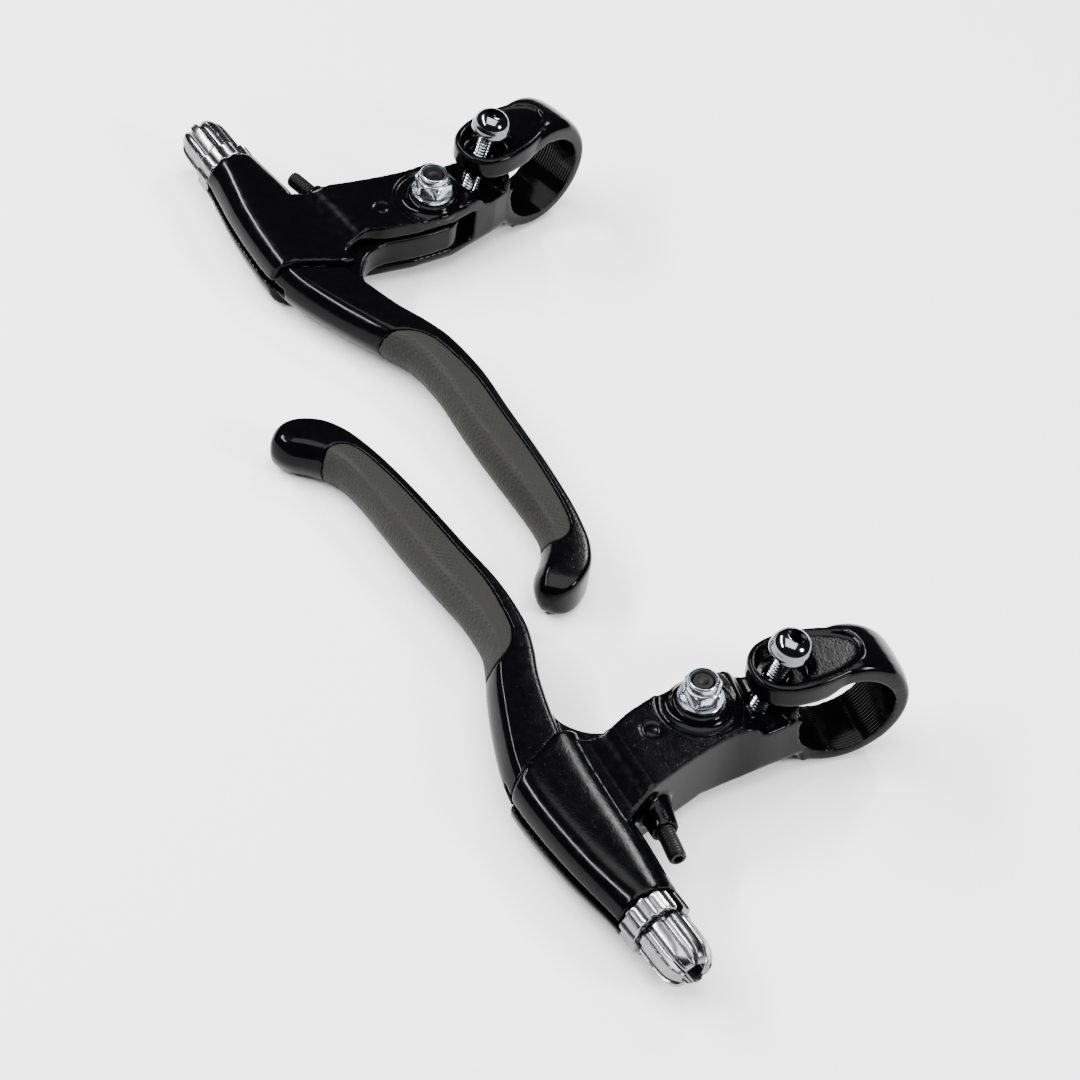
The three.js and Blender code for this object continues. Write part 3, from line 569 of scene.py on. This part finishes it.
def bladeSection(width, height):
    # one upright section, from the middle of the back over the top to the middle of the front and under
    shy = min(width * 0.3, 3.7)
    top = [(0, 0), (0, height * 0.5), (0.06, height - 1.3), (0.3, height - 0.55), (0.8, height - 0.12), (1.5, height)]
    top += [(1.5 + (width - shy - 1.5) * k / 5, height + 0.12 * math.sin(math.pi * k / 5)) for k in range(1, 6)]
    top += [(width - shy * (1 - s), height * h) for s, h in
            ((0.12, 0.975), (0.3, 0.9), (0.5, 0.77), (0.68, 0.6), (0.84, 0.4), (0.95, 0.2), (1, 0))]
    return [Vector(p) for p in top + [(u, -z) for u, z in top[-2::-1]]]


def bladeSkin(b, grow=0.0):
    line = smoothThrough(bladeStations, 8)

    def surface(u, v):
        backX, backY, frontX, frontY, share = along(line, u)
        back, front = Vector((backX, backY)), Vector((frontX, frontY))
        width = (front - back).length
        across, rise = along(bladeSection(width, b["halfHeight"] * max(share, 0.05)), v)
        point = back + (front - back) * (across / width)
        bulge = grow * (across / width - 0.2)
        point += (front - back).normalized() * bulge
        return Vector((point.x, point.y, b["middle"] + rise * (1 + grow / b["halfHeight"])))

    return skin(150, 84, surface)


backEdge = [(90, 72.4), (80, 69), (70, 66), (60, 63.2), (48, 59.7), (36, 58.1), (28, 58.7)]
frontEdge = [(27, 69.9), (33, 68.9), (40, 69.4), (50, 72.3), (60, 75.1), (70, 77.6), (80, 79.9)]


def padOutline(inset):
    # the leaf that the rubber fills: open to the front, with rounded ends
    rim = [(32.2, 62.3 + inset), (36, 61.7 + inset), (48, 62.6 + inset), (60, 65.8 + inset), (70, 68.5 + inset),
           (80, 71.5 + inset), (88, 74.4 + inset), (93, 76.6 + inset)]
    root = [(22 + inset, 90), (22.6 + inset, 76), (24.2 + inset, 70.5), (26.6 + inset, 66.4), (29.2 + inset, 63.8)]
    tip = [(96.2 - inset, 78.9), (97.3 - inset, 81.6), (96.6 - inset, 84.4), (93 - inset, 88), (90 - inset, 96)]
    return smoothThrough(root + rim + tip, 5)


def tongueOutline(grow):
    front = [(x, y - 3 + grow) for x, y in frontEdge]
    back = [(x, y + 1) for x, y in backEdge]
    return [(20, 66 + grow)] + smoothThrough(front, 4) + [(92 + grow, 79 + grow), (96 + grow, 75 + grow)] + \
        smoothThrough(back, 4)


def rootSolid(b):
    eye = b["eyeRadius"]
    plan = smoothThrough([(pivot.x + eye, pivot.y), (6.4, 38), (4.6, 43), (2.4, 48.5), (2.2, 53), (4, 57), (8, 60.4),
                          (14, 61.2)], 6)
    plan += [(14, 72), (-5.6, 72.6), (-8, 71.2), (-9.3, 69)]
    plan += smoothThrough([(-9.6, 67), (-9.8, 63), (-8.6, 57), (-6.3, 48), (-6.6, 40), (pivot.x - eye, pivot.y)], 6)
    plan += [(pivot.x - eye * math.cos(a), pivot.y - eye * math.sin(a)) for a in
             [math.radians(d) for d in range(12, 180, 12)]]
    return prism(plan, b["rootMiddle"] - b["rootHalf"], b["rootMiddle"] + b["rootHalf"], 0.5, 2)


def makeBlade(b):
    slotLow, slotHigh = housingEnd.z - b["cableSlot"] / 2, housingEnd.z + b["cableSlot"] / 2
    grip = combine(bladeSkin(b), [besideMouth(b["mouthGap"], -200), prism(padOutline(0), -12, 12)], "DIFFERENCE")
    tongue = prism(tongueOutline(0), b["middle"] - b["tongueHalf"], b["middle"] + b["tongueHalf"])
    blade = combine(grip, [tongue, rootSolid(b)], "UNION")
    anchorRoom = bar(b["anchorHole"], (anchorAt.x, anchorAt.y, -30), (0, 0, 1), 30.1 + anchorAt.z + anchorHalf)
    combine(blade, [anchorRoom, brick((-20, anchorAt.y - 1.2, slotLow), (anchorAt.x, 90, slotHigh)),
                    bar(b["bushHole"], (pivot.x, pivot.y, -30), (0, 0, 1), 60)], "DIFFERENCE")
    castSmooth(blade, b["voxel"], b["smoothPasses"])
    return softShade(blade)


def makePad(b):
    pad = combine(bladeSkin(b, b["padProud"]), [prism(padOutline(b["padGap"]), -12, 12)], "INTERSECT")
    core = prism(tongueOutline(b["padGap"]), b["middle"] - b["tongueHalf"] - b["padGap"],
                 b["middle"] + b["tongueHalf"] + b["padGap"])
    combine(pad, [core], "DIFFERENCE")
    castSmooth(pad, b["voxel"], b["padPasses"])
    return softShade(pad)


place(makeBlade(bladeSize), "lever_blade", "blade", ["lever_blade"], enamel)
place(makePad(bladeSize), "grip_pad", "blade", ["grip_pad"], rubber)
print("blades and pads made")

adjusterSize = {
    "flutes": 8, "fluteDepth": 1.05, "headRadius": 6.0, "headLength": 11.8, "headStart": 5.6, "stemRadius": 4.7,
    "stemLength": 10, "holeRadius": 2.6, "slot": 2.2, "ringFlutes": 12, "ringFluteDepth": 0.55, "ringRadius": 7.2,
    "ringLength": 5.0, "ringGap": 0.2, "slotWay": (0, 0.35, -1), "ringSlotWay": (0, -0.6, 0.8),
}


def flutedBar(profile, flutes, depth, land, lengthwise, around):
    # a bar about Z: pairs of radius and height, with evenly spaced hollow flutes down its side
    line = [Vector(p) for p in profile]
    fullest = max(p.x for p in line)

    def surface(u, v):
        radius, height = along(line, u)
        wave = 0.5 - 0.5 * math.cos(2 * math.pi * v * flutes)
        hollow = max(0, (wave - land) / (1 - land)) ** 0.55  # full round bottoms
        share = min(1, max(0, (radius / fullest - 0.25) / 0.5))
        radius -= depth * hollow * share
        angle = 2 * math.pi * v
        return Vector((radius * math.cos(angle), radius * math.sin(angle), height))

    return skin(lengthwise, around, surface)


def toHousing(obj, shift, slotWay):
    # Z goes to the barrel's axis and X to where the cable slot opens
    side = barrelAxis.cross(slotWay).normalized()
    turn = Matrix((side.cross(barrelAxis), side, barrelAxis)).transposed()
    obj.data.transform(Matrix.Translation(housingEnd + barrelAxis * shift) @ turn.to_4x4())
    return obj


def makeBarrel(a):
    high, radius = a["headLength"], a["headRadius"]
    profile = smoothThrough([(radius - 0.5, 0), (radius - 0.1, 0.3), (radius, 0.9), (radius, 3), (radius - 0.02, 6),
                             (radius - 0.2, 8.4), (radius - 0.65, 10), (radius - 1.4, 11.1), (radius - 2.3, 11.65),
                             (radius - 2.9, high)], 5)
    head = flutedBar(profile, a["flutes"], a["fluteDepth"], 0.42, 60, 320)
    stemEnd, bore = -a["headStart"] - a["stemLength"], a["holeRadius"]
    stem = lathe([(0, stemEnd), (a["stemRadius"], stemEnd), (a["stemRadius"], 1), (0, 1)], 64)
    body = combine(head, [stem], "UNION")
    hole = lathe([(0, -40), (bore, -40), (bore, high - 0.7), (bore + 0.9, high + 0.3), (0, high + 0.3)], 64)
    slot = brick((0, -a["slot"] / 2, -40), (20, a["slot"] / 2, 40))
    combine(body, [hole, slot], "DIFFERENCE")
    easeEdges(body, 0.12, 50)
    return softShade(toHousing(body, a["headStart"], Vector(a["slotWay"])), 35)


def makeLockRing(a):
    radius, length = a["ringRadius"], a["ringLength"]
    profile = [(radius - 0.6, 0), (radius - 0.15, 0.15), (radius, 0.6), (radius, length / 2), (radius, length - 0.6),
               (radius - 0.15, length - 0.15), (radius - 0.6, length)]
    body = flutedBar(smoothThrough(profile, 4), a["ringFlutes"], a["ringFluteDepth"], 0.2, 30, 288)
    hole = bar(a["stemRadius"] + 0.2, (0, 0, -10), (0, 0, 1), 40, 64)
    slot = brick((0, -a["slot"] / 2, -40), (20, a["slot"] / 2, 40))
    body = combine(body, [hole, slot], "DIFFERENCE")
    return softShade(toHousing(body, a["ringGap"], Vector(a["ringSlotWay"])), 35)


place(makeBarrel(adjusterSize), "adjuster_barrel", "barrel", ["adjuster_barrel"], turnedAluminium)
place(makeLockRing(adjusterSize), "adjuster_lock_ring", "lock", ["adjuster_lock_ring"],
      turnedAluminium)
print("adjusters made")


def threadedBar(radius, pitch, length, rounds=24):
    # a screw thread about Z, from 0 to length
    depth = pitch * 0.5

    def surface(u, v):
        height = u * length
        phase = (height / pitch - v) % 1.0
        ends = min(1, height / pitch, (length - height) / pitch)
        local = radius - depth * (1 - ends) * 0.6 - depth * (1 - abs(2 * phase - 1)) * 0.85
        angle = 2 * math.pi * v
        return Vector((local * math.cos(angle), local * math.sin(angle), height))

    return skin(int(length / pitch * 8), rounds, surface)


clampBoltSize = {
    "radius": 2.5, "pitch": 0.8, "length": 20.4, "standOff": 2.4, "headRadius": 4.7, "headHeight": 5, "hexAcross": 4,
}


def makeClampBolt(s):
    h, r = s["headHeight"], s["headRadius"]
    head = lathe([(0, 0), (r - 0.35, 0), (r - 0.05, 0.15), (r, 0.45), (r, 1.3), (r - 0.12, 1.6), (r - 0.14, 2.2),
                  (r - 0.35, 3.0), (r - 0.8, 3.8), (r - 1.4, 4.45), (r - 1.9, 4.8), (r - 2.25, h - 0.08),
                  (r - 2.4, h), (0, h)], 72)
    shank = stood(threadedBar(s["radius"], s["pitch"], s["length"], 32), (0, 0, 0.3 - s["length"]))
    bolt = combine(head, [shank], "UNION")
    drilled = lathe([(0, h - 4.2), (1.9, h - 3.2), (1.9, h), (0, h)], 48)
    combine(bolt, [hexBar(s["hexAcross"], h - 3.2, h + 2), drilled], "DIFFERENCE")
    raised = boltSeat + boltAxis * s["standOff"]  # the bolt is left undone by this much
    return softShade(reshaped(bolt, lambda bm: stood(bm, raised, boltAxis)), 35)


pivotSetSize = {
    "boltRadius": 2.5, "boltPitch": 0.8, "headRadius": 4.2, "headHeight": 2.2, "hexAcross": 3, "nutAcross": 8,
    "nutHeight": 3.5, "collarRadius": 3.45, "collarHeight": 1.7, "holeRadius": 2.7, "washerRadius": 5.0,
    "washerThickness": 0.9, "thrustRadius": 5.9, "thrustThickness": 0.5, "gap": 0.2,
}


def makeNut(s, low):
    high = low + s["nutHeight"]
    cone = lathe([(0, low), (4.1, low), (4.62, low + 0.45), (4.62, high - 0.9), (3.9, high), (0, high)], 72)
    nut = combine(hexBar(s["nutAcross"], low, high), [cone], "INTERSECT")
    collar = lathe([(0, low + 1), (s["collarRadius"], low + 1), (s["collarRadius"], high + 1.2),
                    (s["collarRadius"] - 0.12, high + 1.5), (s["collarRadius"] - 0.4, high + s["collarHeight"]),
                    (0, high + s["collarHeight"])], 72)
    combine(nut, [collar], "UNION")
    combine(nut, [bar(s["holeRadius"], (0, 0, -30), (0, 0, 1), 60, 64),
                  bar(3.0, (0, 0, high + 0.2), (0, 0, 1), 5, 64)], "DIFFERENCE")
    return easeEdges(nut, 0.1, 40)


def atPivot(obj):
    obj.data.transform(Matrix.Translation(pivot))
    return softShade(obj, 35)


def washer(outer, low, high, ease=0.1):
    inner = pivotSetSize["holeRadius"]
    ring = [(inner, low), (outer - ease, low), (outer, low + ease), (outer, high - ease), (outer - ease, high),
            (inner + ease, high), (inner, high - ease)]
    return asObject(lathe(ring, 80, closed=True))


washerLow = bracketSize["bossTop"] + pivotSetSize["gap"]
nutLow = bracketSize["bossTop"] + pivotSetSize["washerThickness"] + 2 * pivotSetSize["gap"]
nutTop = nutLow + pivotSetSize["nutHeight"] + pivotSetSize["collarHeight"]


def makePivotBolt(s, low):
    end, threadFrom = nutTop - 0.6, 7.2
    head = lathe([(0, low), (s["headRadius"] - 0.3, low), (s["headRadius"], low + 0.3),
                  (s["headRadius"], low + s["headHeight"]), (0, low + s["headHeight"])], 64)
    plain = lathe([(0, low + 1), (s["boltRadius"], low + 1), (s["boltRadius"], threadFrom + 0.3),
                   (0, threadFrom + 0.3)], 48)
    thread = stood(threadedBar(s["boltRadius"], s["boltPitch"], end - threadFrom, 32), (0, 0, threadFrom))
    bolt = combine(head, [plain, thread], "UNION")
    endDimple = lathe([(0, end - 0.5), (1.3, end - 0.1), (1.5, end + 1), (0, end + 1)], 32)
    combine(bolt, [hexBar(s["hexAcross"], low - 1, low + 1.4), endDimple], "DIFFERENCE")
    return bolt


def makeInsert(s):
    low = nutTop - s["collarHeight"] + 0.25
    ring = [(2.58, low), (2.95, low), (2.95, nutTop - 0.42), (2.86, nutTop - 0.3), (2.72, nutTop - 0.3),
            (2.58, nutTop - 0.5)]
    return asObject(lathe(ring, 64, closed=True))


reachScrewSize = {"radius": 2.0, "pitch": 0.7, "outerEnd": -31.5, "tip": -7.05, "hexAcross": 2}


def makeReachScrew(s):
    length = s["tip"] - s["outerEnd"]
    screw = asObject(threadedBar(s["radius"], s["pitch"], length, 28))
    combine(screw, [hexBar(s["hexAcross"], length - 2, length + 2)], "DIFFERENCE")
    return softShade(reshaped(screw, lambda bm: stood(bm, (s["tip"], reachAt.y, reachAt.z), reachAxis)), 35)


def makeAnchor():
    # the barrel that holds the cable's nipple, with its groove towards the housing
    half, radius = anchorHalf, 3.6
    body = lathe([(0, -half), (radius - 0.2, -half), (radius, 0.2 - half), (radius, half - 0.2), (radius - 0.2, half),
                  (0, half)], 64)
    anchor = combine(body, [bar(2.0, (0, 0, -30), (0, 0, 1), 60), brick((-10, -0.9, -2), (0, 0.9, 0))], "DIFFERENCE")
    anchor.data.transform(Matrix.Translation(anchorAt))
    return softShade(anchor, 35)


place(makeClampBolt(clampBoltSize), "clamp_bolt", "clamp_screw", ["clamp_bolt"], brightChrome)
place(atPivot(makePivotBolt(pivotSetSize, bracketSize["armBottom"])), "pivot_bolt", "brackets", ["pivot_bolt"],
      blackOxide)
place(atPivot(makeNut(pivotSetSize, nutLow)), "pivot_nut", "brackets", ["pivot_nut"], brightZinc)
pivotWasher = washer(pivotSetSize["washerRadius"], washerLow, washerLow + pivotSetSize["washerThickness"])
place(atPivot(pivotWasher), "pivot_washer", "brackets", ["pivot_washer"], brightZinc)
place(atPivot(makeInsert(pivotSetSize)), "nut_insert", "brackets", ["nut_insert"], nylon)
thrustInner = bladeSize["rootHalf"] + pivotSetSize["gap"]
thrustOuter = thrustInner + pivotSetSize["thrustThickness"]
for level, facing in (("upper", 1), ("lower", -1)):
    low, high = sorted(bladeSize["rootMiddle"] + facing * away for away in (thrustInner, thrustOuter))
    thrustWasher = washer(pivotSetSize["thrustRadius"], low, high, 0.08)
    place(atPivot(thrustWasher), f"{level}_thrust_washer", "brackets", [f"{level}_thrust_washer"],
          brightZinc)
place(makeReachScrew(reachScrewSize), "reach_screw", "reach", ["reach_screw"], blackOxide)
place(makeAnchor(), "cable_anchor", "anchor", ["cable_anchor"], brightZinc)
for side in levers:  # the bush is hidden in the pivot, so its CAD solid stays
    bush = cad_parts[f"{side}_pivot_bush"]
    bush.data.materials.clear()
    bush.data.materials.append(plainBrass)
print("screws, nuts and washers made")

studio = {
    "floor": "#f4f4f4", "worldStrength": 0.05,
    "lamps": {
        "overhead": {"at": (0.0, -0.15, 1.1), "size": (1.1, 1.1), "watts": 30.0},
        "backPanel": {"at": (0.16, 0.47, 0.56), "size": (0.12, 0.12), "watts": 3.5},
        "leftStrip": {"at": (-0.55, 0.0, 0.5), "size": (0.9, 0.05), "watts": 15.0},
        "rightPanel": {"at": (0.75, -0.25, 0.5), "size": (0.2, 0.2), "watts": 10.0},
    },
}


def softbox(name, box):
    data = bpy.data.lights.new(name, "AREA")
    data.shape, data.energy = "RECTANGLE", box["watts"]
    data.size, data.size_y = box["size"]
    lamp = bpy.data.objects.new(name, data)
    lamp.location = box["at"]
    lamp.rotation_mode = "QUATERNION"
    lamp.rotation_quaternion = (Vector((0.02, 0, 0)) - Vector(box["at"])).to_track_quat("-Z", "Y")
    bpy.context.scene.collection.objects.link(lamp)


for name, box in studio["lamps"].items():
    softbox(name, box)

world = bpy.data.worlds.new("studio")
bpy.context.scene.world = world
world.use_nodes = True
world.node_tree.nodes["Background"].inputs["Color"].default_value = (1, 1, 1, 1)
world.node_tree.nodes["Background"].inputs["Strength"].default_value = studio["worldStrength"]

floorMesh = bmesh.new()
bmesh.ops.create_grid(floorMesh, x_segments=1, y_segments=1, size=4)
bmesh.ops.translate(floorMesh, vec=(0, 0, -0.0002), verts=floorMesh.verts)
floor = asObject(floorMesh, "bench")
paper = freshMaterial("matPaperSweep")
paperWhere = addNode(paper, "ShaderNodeTexCoord")
paperFibre = addNode(paper, "ShaderNodeTexNoise", {"Scale": 1000 / 0.6, "Detail": 3.0},
                     [("Vector", paperWhere, "Object")])
paperBump = addNode(paper, "ShaderNodeBump", {"Strength": 0.05, "Distance": 0.00002}, [("Height", paperFibre, 0)])
finishMaterial(paper, {"Base Color": colour(studio["floor"]), "Roughness": 0.9}, [("Normal", paperBump, "Normal")])
floor.data.materials.append(paper)

view = {  # the place is in millimetres
    "lens": 109.1, "at": (11.5, -533.6, 516.1),
    "right": (0.977, 0.148, 0.1525), "up": (-0.2127, 0.6812, 0.7005), "back": (0, -0.7169, 0.6972),
}
cameraData = bpy.data.cameras.new("camera")
cameraData.lens, cameraData.sensor_width = view["lens"], 36
cameraData.clip_start, cameraData.clip_end = 0.05, 20
camera = bpy.data.objects.new("camera", cameraData)
camera.rotation_mode = "QUATERNION"
camera.location = Vector(view["at"]) / 1000
camera.rotation_quaternion = Matrix((view["right"], view["up"], view["back"])).transposed().to_quaternion()
bpy.context.scene.collection.objects.link(camera)
bpy.context.scene.camera = camera
print("studio made")
